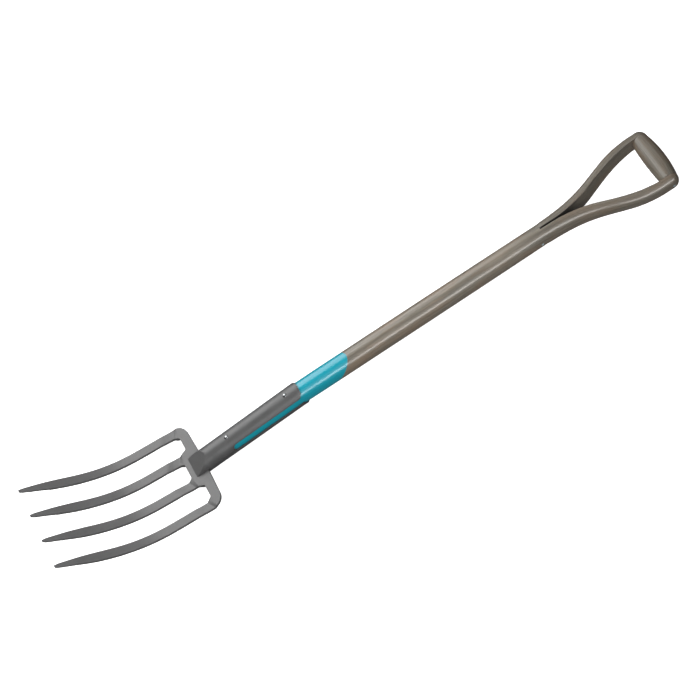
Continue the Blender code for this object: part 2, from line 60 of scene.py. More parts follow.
# ash shaft: sawn slot, radius where it starts, then distance along the shaft and radius
SLOT_HALF = 0.0012
SLOT_START_R = 0.0178
TRUNK = (
    (-0.1620, 0.0148),
    (-0.1590, 0.0168),
    (-0.0600, 0.0178),
    (0.0000, 0.0182),
    (0.0150, 0.0183),
    (0.0400, 0.0185),
    (0.2500, 0.0185),
    (0.3800, 0.0182),
    (SLOT_START_X, SLOT_START_R),
)
CORNER_AT_SLOT = 0.0003
CORNER_ON_ARM = 0.0016
TRUNK_STEP = 0.0080
ARC_STEPS = 36
CORNER_STEPS = 5

# bent arms: inner and outer face where they end, then x, inner face y, outer face y, half
# height along them
ARM_INNER_Y = 0.0460
ARM_OUTER_Y = 0.0600
ARM_STATIONS = (
    (SLOT_START_X, SLOT_HALF, SLOT_START_R, SLOT_START_R),
    (0.5030, 0.0019, 0.0187, 0.0174),
    (0.5220, 0.0039, 0.0206, 0.0171),
    (0.5410, 0.0078, 0.0244, 0.0168),
    (0.5600, 0.0133, 0.0299, 0.0164),
    (0.5795, 0.0212, 0.0371, 0.0159),
    (0.5985, 0.0290, 0.0448, 0.0154),
    (0.6175, 0.0358, 0.0520, 0.0149),
    (0.6370, 0.0414, 0.0570, 0.0145),
    (0.6560, 0.0448, 0.0595, 0.0143),
    (0.6640, ARM_INNER_Y, ARM_OUTER_Y, 0.0142),
)
ARM_ROWS = 64
ARM_END_LENGTH = 0.0145
ARM_END_ROWS = 12

# grip crosspiece: half width and half height at its ends and in its middle
GRIP_END = (0.0145, 0.0143)
GRIP_MID = (0.0178, 0.0155)
GRIP_BOW = 0.0010
GRIP_GAP = 0.0001
GRIP_END_ROUND = 0.0004
GRIP_SEGMENTS = 72
GRIP_ROWS = 44

# pins across the fork
ROD_R = 0.0030
ROD_PROUD = 0.0003
SPLIT_RIVET_R = 0.0022
SPLIT_RIVET_PROUD = 0.0005
BORE_CLEARANCE = 0.0002
ROD_DRILL_REACH = 0.1
SPLIT_DRILL_REACH = 0.05
PIN_DOME = 0.0005
PIN_DOME_STEPS = 6
PIN_SEGMENTS = 40

# socket: its lower end leans back by this slope
CANT = math.tan(math.radians(4.0))
SOCKET_R_TOP = 0.0207
SOCKET_R_NOSE = 0.0195
SOCKET_LOW_X = -0.2150
SOCKET_WALL = 0.0021
SOCKET_ARC_STEPS = 26
FACET_STEPS = 14
STRAP_STEP = 0.0040
WINDOW_END_STEPS = 8
TONGUE_STEPS = 12
RUN_OUT_STEP = 0.0002
# lower end of each strap and the upper end of the facet planed across it
NOSE_X = -0.2115
NOSE_TOP = (-0.1785, 0.0080)
HEEL_X = -0.2066
HEEL_TOP = (-0.1840, -0.0322)
# rounded upper ends: end x, half width
FRONT_TONGUE = (0.0062, 0.0182)
REAR_TONGUE = (0.0088, 0.0225)
TONGUE_CORNER_R = 0.0115
TONGUE_START_X = -0.1200
WINDOW_LOW_X = -0.1340
WINDOW_HIGH = 0.0111
SEAM_GAP = 0.0003

# strap rivets: places, shank radius, then radius and height of each head
RIVET_X = {"strap_rivet_lower": -0.1340, "strap_rivet_upper": -0.0172}
RIVET_R = 0.0022
RIVET_HEAD = (0.0036, 0.0018)
RIVET_BACK_HEAD = (0.0036, 0.0007)
RIVET_DOME_STEPS = 10
RIVET_SEGMENTS = 48

# fork head
PLATE_Z = -0.0128
PLATE_T = 0.0062
PLATE_TOP_X = -0.1893
PLATE_LOW_X = -0.2070
WEB_LOW_X = -0.2205
PLATE_FALL = 0.0018
PLATE_CORNER_R = 0.0205
# slanted corners between the crossbar and a tine: y on the crossbar, x on the tine
OUTER_CROTCH = (0.0628, -0.2166)
INNER_CROTCH = (0.0385, -0.2203)
WEB_CROTCH = (0.0142, -0.2274)
CROTCH_R = 0.0025
OUTLINE_STEP = 0.0013
TANG_TOP_X = -0.1680
TANG_HALF = 0.0130
TANG_CORNER_R = 0.0030
TREAD_Y = 0.0215
TINE_ROOT_Y = (0.0256, 0.0766)
TINE_TIP_Y = (0.0261, 0.0784)
TINE_START_X = -0.2300
# centre line of a tine's front face: x, z
TINE_LINE = (
    (-0.2080, -0.0138),
    (-0.2200, -0.0133),
    (-0.2420, -0.0112),
    (-0.2690, -0.0087),
    (-0.2960, -0.0052),
    (-0.3235, 0.0016),
    (-0.3510, 0.0131),
    (-0.3787, 0.0297),
    (-0.4060, 0.0502),
    (-0.4334, 0.0725),
    (-0.4610, 0.0935),
)
# distance back from the point, half width of the front face, depth
TINE_TAPER = (
    (0.0000, 0.0012, 0.0018),
    (0.0016, 0.0024, 0.0028),
    (0.0050, 0.0033, 0.0034),
    (0.0100, 0.0040, 0.0038),
    (0.0190, 0.0047, 0.0043),
    (0.0350, 0.0060, 0.0050),
    (0.0520, 0.0073, 0.0058),
    (0.0800, 0.0083, 0.0066),
    (0.1400, 0.0078, 0.0072),
    (0.3000, 0.0076, 0.0076),
)
# share of the depth at which the sides start to lean in, on the crossbar and on a tine
BAR_SIDE_SHARE = 0.9125
TINE_SIDE_SHARE = 0.75
# how far they lean in: a distance on the crossbar, a share of the half width on a tine
BAR_BACK_INSET = 0.0012
TINE_BACK_SHARE = 0.50
TINE_STEP = 0.0022
TINE_NOSE_STEPS = 6
TINE_LENGTH_SAMPLES = 160
SLOPE_REACH = 0.0015
# where the front face folds down into a tine: start and crease, each as x at the tine's
# inner edge and x gained per metre outwards, then how the fold curves
OUTER_FOLD = ((-0.2040, 0.00), (-0.2168, 0.52), 1.6)
INNER_FOLD = ((-0.2185, 0.10), (-0.2289, 0.53), 1.1)
FOLD_DROP = 0.0021
FOLD_RUN_OUT = 0.0220
FOLD_HANDOVER = (0.0430, 0.0600)
FOLD_TOP_X = -0.2000
FOLD_STEP = 0.0011
CUT_OFFSET = 0.00023
CUT_SNAP = 0.00005
CUT_MERGE = 0.00025
# further slices of the head, at these |y|
HEAD_ROWS = (0.0060, 0.0100, 0.0128, 0.0155, 0.0195, 0.0226, 0.0256, 0.0286, 0.0316, 0.0345,
             0.0372, 0.0402, 0.0435, 0.0480, 0.0530, 0.0580, 0.0610, 0.0640, 0.0665, 0.0710,
             0.0738, 0.0766, 0.0794, 0.0822)
# the forging is thicker round each crotch: centres (x, |y|), then reach and extra depth
KNUCKLES = ((-0.2085, 0.0372), (-0.2205, 0.0148), (-0.2110, 0.0655))
KNUCKLE_REACH = 0.0062
KNUCKLE_DEPTH = 0.0042

# rounded edges
FORGED_EDGE = 0.0004
PRESSED_EDGE = 0.0005
EDGE_SEGMENTS = 3

# points closer than this are one point
MERGE_DISTANCE = 0.000002

# paint: the shaft was dipped at a slant, so the edge is a plane across it
PAINT_EDGE_X = 0.0766
PAINT_SLANT = 1.25
PAINT_EDGE_BLUR = 0.0003
PAINT_EDGE_WANDER = 0.0010
PAINT_ROUGHNESS = 0.30
TEALS = ((0.006, 0.275, 0.355, 1.0), (0.009, 0.305, 0.390, 1.0))

# painted shade along the saw cut: its width beside the cut, and where it has faded out
SAW_SHADE = 0.0008
SAW_SHADE_END_X = 0.5550

# ash wood: pith outside the stick, growth rings, and where the painted shade on the bent arms
# starts
PITH_Y = 0.0260
PITH_Z = -0.0420
RING_WIDTH = 0.0017
RING_WANDER = 0.012
ARM_SHADE_START_X = SPLIT_RIVET_X - 0.04

# camera, on the fork's axes
CAMERA_TARGET = (0.1084, 0.0160, 0.0)
CAMERA_DISTANCE = 3.5147
CAMERA_AZIMUTH = 5.10
CAMERA_ELEVATION = 57.152
CAMERA_ROLL = -37.566
CAMERA_LENS = 111.84
CAMERA_SENSOR = 36.0
CAMERA_CLIP = (0.1, 50.0)

# studio: floor, world, then each lamp as name, direction it stands in, distance, size along
# x, other size, watts, shift along x, and whether it acts on diffuse light and reflections
FLOOR_HALF = 30.0
FLOOR_TONES = (0.78, 0.80)
FLOOR_GLOW = 0.92
WORLD_STRENGTH = 0.08
LAMPS = (
    ("key", (0.0, 0.71, 0.70), 2.4, 2.1, 2.6, 71.0, -0.62, True, True),
    ("fill", (0.0, -0.62, 0.78), 2.4, 2.6, 2.0, 54.0, 0.0, True, False),
    ("strip", (0.0, -0.79, 0.61), 2.2, 3.6, 0.52, 72.0, 1.40, False, True),
    ("end_sheen", (0.60, 0.54, 0.59), 2.4, 1.2, 1.2, 6.0, 0.0, False, True),
    ("end_fill", (-0.80, -0.10, 0.59), 2.4, 1.5, 1.5, 16.0, 0.0, True, False),
    ("bounce", (0.0, 0.0, -1.0), 2.4, 4.0, 4.0, 60.0, 0.0, True, False),
)


# ---------------------------------------------------------------- the fork's axes

def centre_of(node):
    low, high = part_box(node)
    return (low + high) / 2.0


def fork_axes():
    """Matrix from the fork's own axes to the row frame, read from its two cross pins."""
    rod = centre_of("grip_rod")
    along = (rod - centre_of("split_rivet")).normalized()
    across = Vector((0.0, 1.0, 0.0))
    out = along.cross(across)
    turn = Matrix((along, across, out)).transposed().to_4x4()
    return Matrix.Translation(rod - along * GRIP_X) @ turn


FORK = fork_axes()


# ---------------------------------------------------------------- mesh helpers

def spline_at(table, x, column):
    """Smooth value of one column of a table whose first column runs one way."""
    rows = sorted(table)
    if x <= rows[0][0]:
        return rows[0][column]
    if x >= rows[-1][0]:
        return rows[-1][column]
    k = max(i for i in range(len(rows) - 1) if rows[i][0] <= x)
    x0, x1 = rows[k][0], rows[k + 1][0]
    y0, y1 = rows[k][column], rows[k + 1][column]
    step = x1 - x0
    slope0 = slope1 = (y1 - y0) / step
    if k > 0:
        slope0 = (y1 - rows[k - 1][column]) / (x1 - rows[k - 1][0])
    if k < len(rows) - 2:
        slope1 = (rows[k + 2][column] - y0) / (rows[k + 2][0] - x0)
    t = (x - x0) / step
    a = (2 * t + 1) * (1 - t) ** 2
    b = t * (1 - t) ** 2
    c = t * t * (3 - 2 * t)
    d = t * t * (t - 1)
    return a * y0 + b * step * slope0 + c * y1 + d * step * slope1


def smooth_share(x, start, end):
    """0 at start, 1 at end, with a soft start and finish."""
    t = min(max((x - start) / (end - start), 0.0), 1.0)
    return t * t * (3.0 - 2.0 * t)


def axis_z(x):
    """Height of the shaft axis: straight above the socket, canted back inside it."""
    return CANT * min(x, 0.0)


def quarter_turns(steps):
    """Angles from 0 to a right angle in even steps."""
    return [math.pi / 2.0 * i / steps for i in range(steps + 1)]


def across_fork(x):
    """Matrix that lays a piece made along Z across the fork at x."""
    return Matrix.Translation((x, 0.0, 0.0)) @ Matrix.Rotation(math.pi / 2.0, 4, "X")


def new_object(name, verts, faces):
    """Mesh object without double points, its faces turned outwards."""
    mesh = bpy.data.meshes.new(name)
    mesh.from_pydata([tuple(v) for v in verts], [], faces)
    work = bmesh.new()
    work.from_mesh(mesh)
    bmesh.ops.remove_doubles(work, verts=work.verts, dist=MERGE_DISTANCE)
    bmesh.ops.dissolve_degenerate(work, edges=work.edges, dist=MERGE_DISTANCE)
    bmesh.ops.recalc_face_normals(work, faces=work.faces)
    work.to_mesh(mesh)
    work.free()
    obj = bpy.data.objects.new(name, mesh)
    bpy.context.scene.collection.objects.link(obj)
    return obj


def loft(name, rings):
    """Skin a row of closed rings that all have the same number of points, ends closed."""
    count = len(rings[0])
    verts = [point for ring in rings for point in ring]
    faces = []
    for row in range(len(rings) - 1):
        low = row * count
        high = low + count
        for i in range(count):
            j = (i + 1) % count
            faces.append((low + i, low + j, high + j, high + i))
    faces.append(tuple(range(count)))
    last = (len(rings) - 1) * count
    faces.append(tuple(last + i for i in range(count)))
    return new_object(name, verts, faces)


def revolve(name, profile, steps, placed):
    """Turned piece from a profile (radius, height), both ends on the axis."""
    verts = []
    faces = []
    rows = []
    for radius, height in profile:
        if radius <= 0.0:
            rows.append([len(verts)] * steps)
            verts.append(placed @ Vector((0.0, 0.0, height)))
            continue
        start = len(verts)
        for k in range(steps):
            angle = 2.0 * math.pi * k / steps
            here = Vector((radius * math.cos(angle), radius * math.sin(angle), height))
            verts.append(placed @ here)
        rows.append(list(range(start, start + steps)))
    for upper, lower in zip(rows, rows[1:]):
        for k in range(steps):
            j = (k + 1) % steps
            corners = []
            for corner in (upper[k], upper[j], lower[j], lower[k]):
                if corner not in corners:
                    corners.append(corner)
            faces.append(tuple(corners))
    return new_object(name, verts, faces)


def apply_modifiers(obj):
    graph = bpy.context.evaluated_depsgraph_get()
    mesh = bpy.data.meshes.new_from_object(obj.evaluated_get(graph))
    obj.modifiers.clear()
    obj.data = mesh


def bore(obj, pin_radius, reach, x):
    """Drill a round hole for a pin across the fork through obj."""
    radius = pin_radius + BORE_CLEARANCE
    profile = ((0.0, reach), (radius, reach), (radius, -reach), (0.0, -reach))
    drill = revolve("drill", profile, PIN_SEGMENTS, across_fork(x))
    cut = obj.modifiers.new("bore", "BOOLEAN")
    cut.solver = "EXACT"
    cut.operation = "DIFFERENCE"
    cut.object = drill
    apply_modifiers(obj)
    bpy.data.objects.remove(drill, do_unlink=True)


def round_edges(obj, width, angle_deg):
    """Round every edge that is sharper than the angle."""
    bevel = obj.modifiers.new("round_edges", "BEVEL")
    bevel.width = width
    bevel.segments = EDGE_SEGMENTS
    bevel.limit_method = "ANGLE"
    bevel.angle_limit = math.radians(angle_deg)
    bevel.use_clamp_overlap = False
    bevel.miter_outer = "MITER_ARC"
    apply_modifiers(obj)


def shade(obj, angle_deg, weighted=True):
    """Shade smooth up to an angle, and if weighted keep large faces flat."""
    mesh = obj.data
    mesh.polygons.foreach_set("use_smooth", [True] * len(mesh.polygons))
    work = bmesh.new()
    work.from_mesh(mesh)
    for edge in work.edges:
        if len(edge.link_faces) == 2:
            edge.smooth = edge.calc_face_angle(0.0) < math.radians(angle_deg)
    work.to_mesh(mesh)
    work.free()
    if weighted:
        normals = obj.modifiers.new("even_shading", "WEIGHTED_NORMAL")
        normals.keep_sharp = True


def place(obj, node, material):
    """Move a finished piece onto the frame and let it stand for its CAD node."""
    obj.data.transform(FORK)
    obj.data.materials.clear()
    obj.data.materials.append(material)
    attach(obj, "root")
    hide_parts(node)
    return obj


def store_grain(obj, grain_at):
    """Keep, at each point, where it lies in the straight wood before bending."""
    mesh = obj.data
    grain = mesh.attributes.new("grain", "FLOAT_VECTOR", "POINT")
    values = []
    for vertex in mesh.vertices:
        values.extend(grain_at(vertex.co))
    grain.data.foreach_set("vector", values)


# ---------------------------------------------------------------- wooden pieces

def trunk_half(x, centre_z, radius, side):
    """Half of a round section from its top to its bottom, matched to an arm's section."""
    start = math.asin(SLOT_HALF / radius)
    corner = CORNER_AT_SLOT / radius
    angles = [start + corner * i / CORNER_STEPS for i in range(CORNER_STEPS)]
    span = math.pi - 2.0 * (start + corner)
    angles += [start + corner + span * i / ARC_STEPS for i in range(ARC_STEPS + 1)]
    angles += [math.pi - angle for angle in reversed(angles[:CORNER_STEPS])]
    return [(x, side * radius * math.sin(angle), centre_z + radius * math.cos(angle))
            for angle in angles]


def arm_half(x, inner, outer, half_height, corner, side):
    """D-shaped arm section from the top of its flat inner face round to the bottom."""
    reach_y = outer - inner - corner
    reach_z = half_height - corner
    points = []
    for turn in quarter_turns(CORNER_STEPS)[:-1]:
        points.append((inner + corner * (1.0 - math.cos(turn)),
                       reach_z + corner * math.sin(turn)))
    for i in range(ARC_STEPS + 1):
        angle = math.pi * i / ARC_STEPS
        normal = Vector((math.sin(angle) / reach_y, math.cos(angle) / reach_z)).normalized()
        points.append((inner + corner + reach_y * math.sin(angle) + corner * normal.x,
                       reach_z * math.cos(angle) + corner * normal.y))
    points += [(y, -z) for y, z in reversed(points[:CORNER_STEPS])]
    return [(x, side * y, z) for y, z in points]


def arm_inner_y(x):
    return min(spline_at(ARM_STATIONS, x, 1), ARM_INNER_Y)


def arm_rows():
    """Rows (x, inner, outer, half height, corner) of an arm, then of its rounded end."""
    rows = []
    for i in range(1, ARM_ROWS + 1):
        x = SLOT_START_X + (GRIP_X - SLOT_START_X) * i / ARM_ROWS
        outer = min(spline_at(ARM_STATIONS, x, 2), ARM_OUTER_Y)
        corner = CORNER_AT_SLOT + (CORNER_ON_ARM - CORNER_AT_SLOT) * smooth_share(
            x, SLOT_START_X, BEND_END_X)
        rows.append((x, arm_inner_y(x), outer, spline_at(ARM_STATIONS, x, 3), corner))
    inner, outer, half_height, corner = rows[-1][1:]
    for i in range(1, ARM_END_ROWS + 1):
        turn = math.pi / 2.0 * i / (ARM_END_ROWS + 0.5)
        shrink = math.cos(turn)
        x = GRIP_X + ARM_END_LENGTH * math.sin(turn)
        rows.append((x, inner, inner + (outer - inner) * shrink, half_height * shrink,
                     corner * shrink))
    return rows


def trunk_stations():
    """Stations of the round shaft, close enough together for smooth shading."""
    xs = [TRUNK[0][0]]
    for (x0, _), (x1, _) in zip(TRUNK, TRUNK[1:]):
        steps = max(1, round((x1 - x0) / TRUNK_STEP))
        xs += [x0 + (x1 - x0) * i / steps for i in range(1, steps + 1)]
    return [(x, spline_at(TRUNK, x, 1)) for x in xs]


def build_shaft(material):
    """Round trunk that splits at the slot into two bent arms, in one closed skin."""
    half = ARC_STEPS + 1 + 2 * CORNER_STEPS
    verts = []
    faces = []
    rings = []
    for x, radius in trunk_stations():
        start = len(verts)
        verts += trunk_half(x, axis_z(x), radius, 1.0)
        verts += trunk_half(x, axis_z(x), radius, -1.0)
        rings.append((list(range(start, start + half)),
                      list(range(start + half, start + 2 * half))))
    for (a0, b0), (a1, b1) in zip(rings, rings[1:]):
        for i in range(half - 1):
            faces.append((a0[i], a0[i + 1], a1[i + 1], a1[i]))
            faces.append((b0[i], b1[i], b1[i + 1], b0[i + 1]))
        faces.append((a0[0], a1[0], b1[0], b0[0]))
        faces.append((a0[-1], b0[-1], b1[-1], a1[-1]))
    faces.append(tuple(rings[0][0] + rings[0][1][::-1]))
    root_a, root_b = rings[-1]
    faces.append((root_a[0], root_b[0], root_b[-1], root_a[-1]))
    for side, previous in ((1.0, root_a), (-1.0, root_b)):
        for row in arm_rows():
            start = len(verts)
            verts += arm_half(*row, side)
            ring = list(range(start, start + half))
            for i in range(half - 1):
                faces.append((previous[i], previous[i + 1], ring[i + 1], ring[i]))
            faces.append((previous[0], ring[0], ring[-1], previous[-1]))
            previous = ring
        faces.append(tuple(previous))
    shaft = new_object("shaft_wood", verts, faces)
    bore(shaft, ROD_R, ROD_DRILL_REACH, GRIP_X)
    bore(shaft, SPLIT_RIVET_R, SPLIT_DRILL_REACH, SPLIT_RIVET_X)

    def grain_at(point):
        bend = max(arm_inner_y(point.x) - SLOT_HALF, 0.0)
        return point.x, point.y - math.copysign(bend, point.y), point.z - axis_z(point.x)

    store_grain(shaft, grain_at)
    shade(shaft, 35.0, weighted=False)
    return place(shaft, "shaft", material)


def build_grip(material):
    """Barrel crosspiece: oval sections on a slightly bowed line, ends lightly rounded."""
    half_length = ARM_INNER_Y - GRIP_GAP
    straight = half_length - GRIP_END_ROUND

    def ring_at(y, trim):
        swell = 1.0 - (y / half_length) ** 2
        rx = GRIP_END[0] + (GRIP_MID[0] - GRIP_END[0]) * swell - trim
        rz = GRIP_END[1] + (GRIP_MID[1] - GRIP_END[1]) * swell - trim
        cx = GRIP_X + GRIP_BOW * swell
        ring = []
        for k in range(GRIP_SEGMENTS):
            angle = 2.0 * math.pi * k / GRIP_SEGMENTS
            ring.append((cx + rx * math.cos(angle), y, rz * math.sin(angle)))
        return ring

    def end_rings(side):
        rings = []
        for turn in quarter_turns(CORNER_STEPS)[1:]:
            rings.append(ring_at(side * (straight + GRIP_END_ROUND * math.sin(turn)),
                                 GRIP_END_ROUND * (1.0 - math.cos(turn))))
        return rings

    stations = [straight * (2.0 * i / GRIP_ROWS - 1.0) for i in range(GRIP_ROWS + 1)]
    barrel = [ring_at(y, 0.0) for y in stations]
    grip = loft("grip_wood", end_rings(-1.0)[::-1] + barrel + end_rings(1.0))
    bore(grip, ROD_R, ROD_DRILL_REACH, GRIP_X)
    store_grain(grip, lambda point: (point.y, point.x - GRIP_X, point.z))
    shade(grip, 35.0, weighted=False)
    return place(grip, "grip", material)


# ---------------------------------------------------------------- steel pins

def domed_profile(radius, half_length, dome):
    """Pin with both ends slightly domed."""
    top = []
    for turn in quarter_turns(PIN_DOME_STEPS):
        top.append((radius * math.sin(turn), half_length - dome * (1.0 - math.cos(turn))))
    return top + [(r, -h) for r, h in reversed(top)]


def build_cross_pin(name, node, x, radius, half_length, material):
    profile = domed_profile(radius, half_length, PIN_DOME)
    pin = revolve(name, profile, PIN_SEGMENTS, across_fork(x))
    shade(pin, 50.0)
    return place(pin, node, material)


def rivet_head(seat, head):
    """Outer line of a domed rivet head, from its crown down to the shank."""
    radius, height = head
    line = []
    for turn in quarter_turns(RIVET_DOME_STEPS):
        line.append((radius * math.sin(turn), seat + height * math.cos(turn)))
    line.append((RIVET_R, seat))
    return line


def build_strap_rivet(node, x, material):
    """Rivet through both straps, square to the socket axis, with a head on each strap."""
    seat = socket_radius(x)
    front = rivet_head(seat, RIVET_HEAD)
    back = rivet_head(seat, RIVET_BACK_HEAD)
    profile = front + [(radius, -height) for radius, height in reversed(back)]
    lean = Matrix.Rotation(-math.atan(CANT), 4, "Y")
    placed = Matrix.Translation((x, 0.0, axis_z(x))) @ lean
    rivet = revolve(node + "_dome", profile, RIVET_SEGMENTS, placed)
    shade(rivet, 50.0)
    return place(rivet, node, material)


# ---------------------------------------------------------------- socket straps

def socket_radius(x):
    """Outer radius of the socket, which narrows towards the head."""
    share = min((x - SOCKET_LOW_X) / -SOCKET_LOW_X, 1.0)
    return SOCKET_R_NOSE + (SOCKET_R_TOP - SOCKET_R_NOSE) * share


def line_z(x, x0, z0, x1, z1):
    """Height at x of the straight line through two points."""
    return z0 + (z1 - z0) * (x - x0) / (x1 - x0)


def window_rise(x):
    """How far the window's edge has opened from the seam, past its rounded lower end."""
    radius = WINDOW_HIGH / 2.0
    reach = min(max(x - WINDOW_LOW_X, 0.0), radius)
    return math.sqrt(radius ** 2 - (radius - reach) ** 2)


def tongue_half_width(x, tongue):
    """Half width that a strap's rounded upper end leaves of it, seen from the front."""
    end_x, half = tongue
    if x < TONGUE_START_X:
        return SOCKET_R_TOP
    past = x - (end_x - TONGUE_CORNER_R)
    if past <= 0.0:
        return half
    return half - TONGUE_CORNER_R + math.sqrt(max(TONGUE_CORNER_R ** 2 - past ** 2, 0.0))


def front_edge(x):
    """Height of the front strap's side edge, measured outwards from the socket axis."""
    seam_z = axis_z(WINDOW_LOW_X) + WINDOW_HIGH / 2.0
    if x <= PLATE_TOP_X + SEAM_GAP:
        return PLATE_Z + SEAM_GAP - axis_z(x)
    if x <= WINDOW_LOW_X:
        z = line_z(x, PLATE_TOP_X + SEAM_GAP, PLATE_Z + SEAM_GAP, WINDOW_LOW_X, seam_z)
        return z - axis_z(x)
    return WINDOW_HIGH / 2.0 + window_rise(x)


def rear_edge(x):
    """Height of the rear strap's side edge, measured outwards (down) from the axis."""
    if x <= PLATE_TOP_X + SEAM_GAP:
        return axis_z(x) - (PLATE_Z - PLATE_T - SEAM_GAP)
    if x <= WINDOW_LOW_X:
        return SEAM_GAP - front_edge(x)
    half = WINDOW_HIGH / 2.0
    rise = window_rise(x)
    return SEAM_GAP * (1.0 - rise / half) - half + rise


def strap_chain(radius, edge, top, facet):
    """Half-section points (y, height) from one side edge over the flat facet to the other."""
    high = math.asin(max(min(facet / radius, 1.0), -1.0))
    low = min(max(math.asin(max(min(edge / radius, 1.0), -1.0)), top), high)
    arc = [low + (high - low) * i / SOCKET_ARC_STEPS for i in range(SOCKET_ARC_STEPS + 1)]
    side = [(radius * math.cos(a), radius * math.sin(a)) for a in arc]
    half, height = side[-1]
    flat = [(half * (1.0 - 2.0 * i / FACET_STEPS), height) for i in range(1, FACET_STEPS)]
    return side + flat + [(-y, h) for y, h in reversed(side)]


def strap_stations(first_x, end_x, facet_top_x):
    """Places along a strap where its outline turns, filled in to an even step."""
    radius = WINDOW_HIGH / 2.0
    keys = [first_x, facet_top_x, PLATE_TOP_X + SEAM_GAP, WINDOW_LOW_X, end_x - TONGUE_CORNER_R]
    for turn in quarter_turns(WINDOW_END_STEPS)[1:]:
        keys.append(WINDOW_LOW_X + radius * (1.0 - math.cos(turn)))
    for turn in quarter_turns(TONGUE_STEPS)[1:]:
        keys.append(end_x - TONGUE_CORNER_R * (1.0 - math.sin(turn)))
    keys.sort()
    stations = []
    for low, high in zip(keys, keys[1:]):
        steps = max(1, math.ceil((high - low) / STRAP_STEP))
        stations += [low + (high - low) * i / steps for i in range(steps)]
    return stations + [keys[-1]]


def build_strap(name, node, sign, first, facet_line, edge_at, tongue, material):
    """Half of the socket: a pressed shell with a flat facet planed across its lower end."""
    low_x, low_z, high_x, high_z = facet_line
    inset = SOCKET_WALL * math.hypot(high_x - low_x, high_z - low_z) / abs(high_x - low_x)

    def facet_height(x):
        return sign * (line_z(x, *facet_line) - axis_z(x))

    def ring_at(x):
        radius = socket_radius(x)
        inner_radius = radius - min(SOCKET_WALL, (x - first) / 2.0)
        edge = edge_at(x)
        half_width = tongue_half_width(x, tongue)
        top = math.acos(half_width / radius) if half_width < radius else -math.pi / 2.0
        facet = facet_height(x)
        inner_facet = max(facet - inset, edge)
        outer = strap_chain(radius, edge, top, facet)
        if x > PLATE_TOP_X and inner_facet >= radius:
            inner = [(y * inner_radius / radius, h * inner_radius / radius) for y, h in outer]
        else:
            inner = strap_chain(inner_radius, edge, top, inner_facet)
        return [(x, y, axis_z(x) + sign * h) for y, h in outer + inner[::-1]]

    run_out = first
    while facet_height(run_out) < socket_radius(run_out):
        run_out += RUN_OUT_STEP
    strap = loft(name, [ring_at(x) for x in strap_stations(first, tongue[0], run_out)])
    round_edges(strap, PRESSED_EDGE, 28.0)
    shade(strap, 32.0)
    return place(strap, node, material)


# ---------------------------------------------------------------- fork head

def tine_length_table():
    """Running length along a tine's front face, measured back from its point."""
    first = TINE_LINE[-1][0]
    run = TINE_LINE[0][0] - first
    xs = [first + run * i / TINE_LENGTH_SAMPLES for i in range(TINE_LENGTH_SAMPLES + 1)]
    points = [(x, spline_at(TINE_LINE, x, 1)) for x in xs]
    table = [(first, 0.0)]
    for (x0, z0), (x1, z1) in zip(points, points[1:]):
        table.append((x1, table[-1][1] + math.hypot(x1 - x0, z1 - z0)))
    return table


TINE_LENGTHS = tine_length_table()


def back_from_point(x):
    return spline_at(TINE_LENGTHS, x, 1)


def tine_centre_y(x, which):
    share = back_from_point(x) / TINE_LENGTHS[-1][1]
    return TINE_TIP_Y[which] + (TINE_ROOT_Y[which] - TINE_TIP_Y[which]) * share


def tine_half_width(x):
    return spline_at(TINE_TAPER, back_from_point(x), 1)


def tine_outline(which):
    """One tine seen from the front, from its outer edge round the point to its inner edge."""
    tip_x = TINE_LINE[-1][0]
    tip_r = TINE_TAPER[0][1]
    count = round((TINE_START_X - tip_x) / (2.0 * TINE_STEP))
    xs = [TINE_START_X + (tip_x + tip_r - TINE_START_X) * i / count for i in range(count + 1)]
    outer = [(x, tine_centre_y(x, which) + tine_half_width(x)) for x in xs]
    inner = [(x, tine_centre_y(x, which) - tine_half_width(x)) for x in xs]
    last_half = tine_half_width(xs[-1])
    nose = []
    for i in range(1, TINE_NOSE_STEPS):
        turn = math.pi * i / TINE_NOSE_STEPS
        nose.append((xs[-1] - tip_r * math.sin(turn),
                     tine_centre_y(tip_x, which) + last_half * math.cos(turn)))
    return outer + nose + inner[::-1]


def rounded_outline(corners):
    """Polygon from corners (x, y, fillet radius)."""
    points = []
    count = len(corners)
    for i, (x, y, radius) in enumerate(corners):
        here = Vector((x, y))
        if radius <= 0.0:
            points.append(here)
            continue
        before = Vector(corners[i - 1][:2]) - here
        after = Vector(corners[(i + 1) % count][:2]) - here
        before.normalize()
        after.normalize()
        half = before.angle(after) / 2.0
        reach = radius / math.tan(half)
        centre = here + (before + after).normalized() * (radius / math.sin(half))
        start = here + before * reach - centre
        end = here + after * reach - centre
        turn = start.angle_signed(end)
        steps = max(4, round(abs(turn) * radius / OUTLINE_STEP))
        for k in range(steps + 1):
            angle = -turn * k / steps
            c = math.cos(angle)
            s = math.sin(angle)
            points.append(centre + Vector((c * start.x - s * start.y,
                                           s * start.x + c * start.y)))
    return points


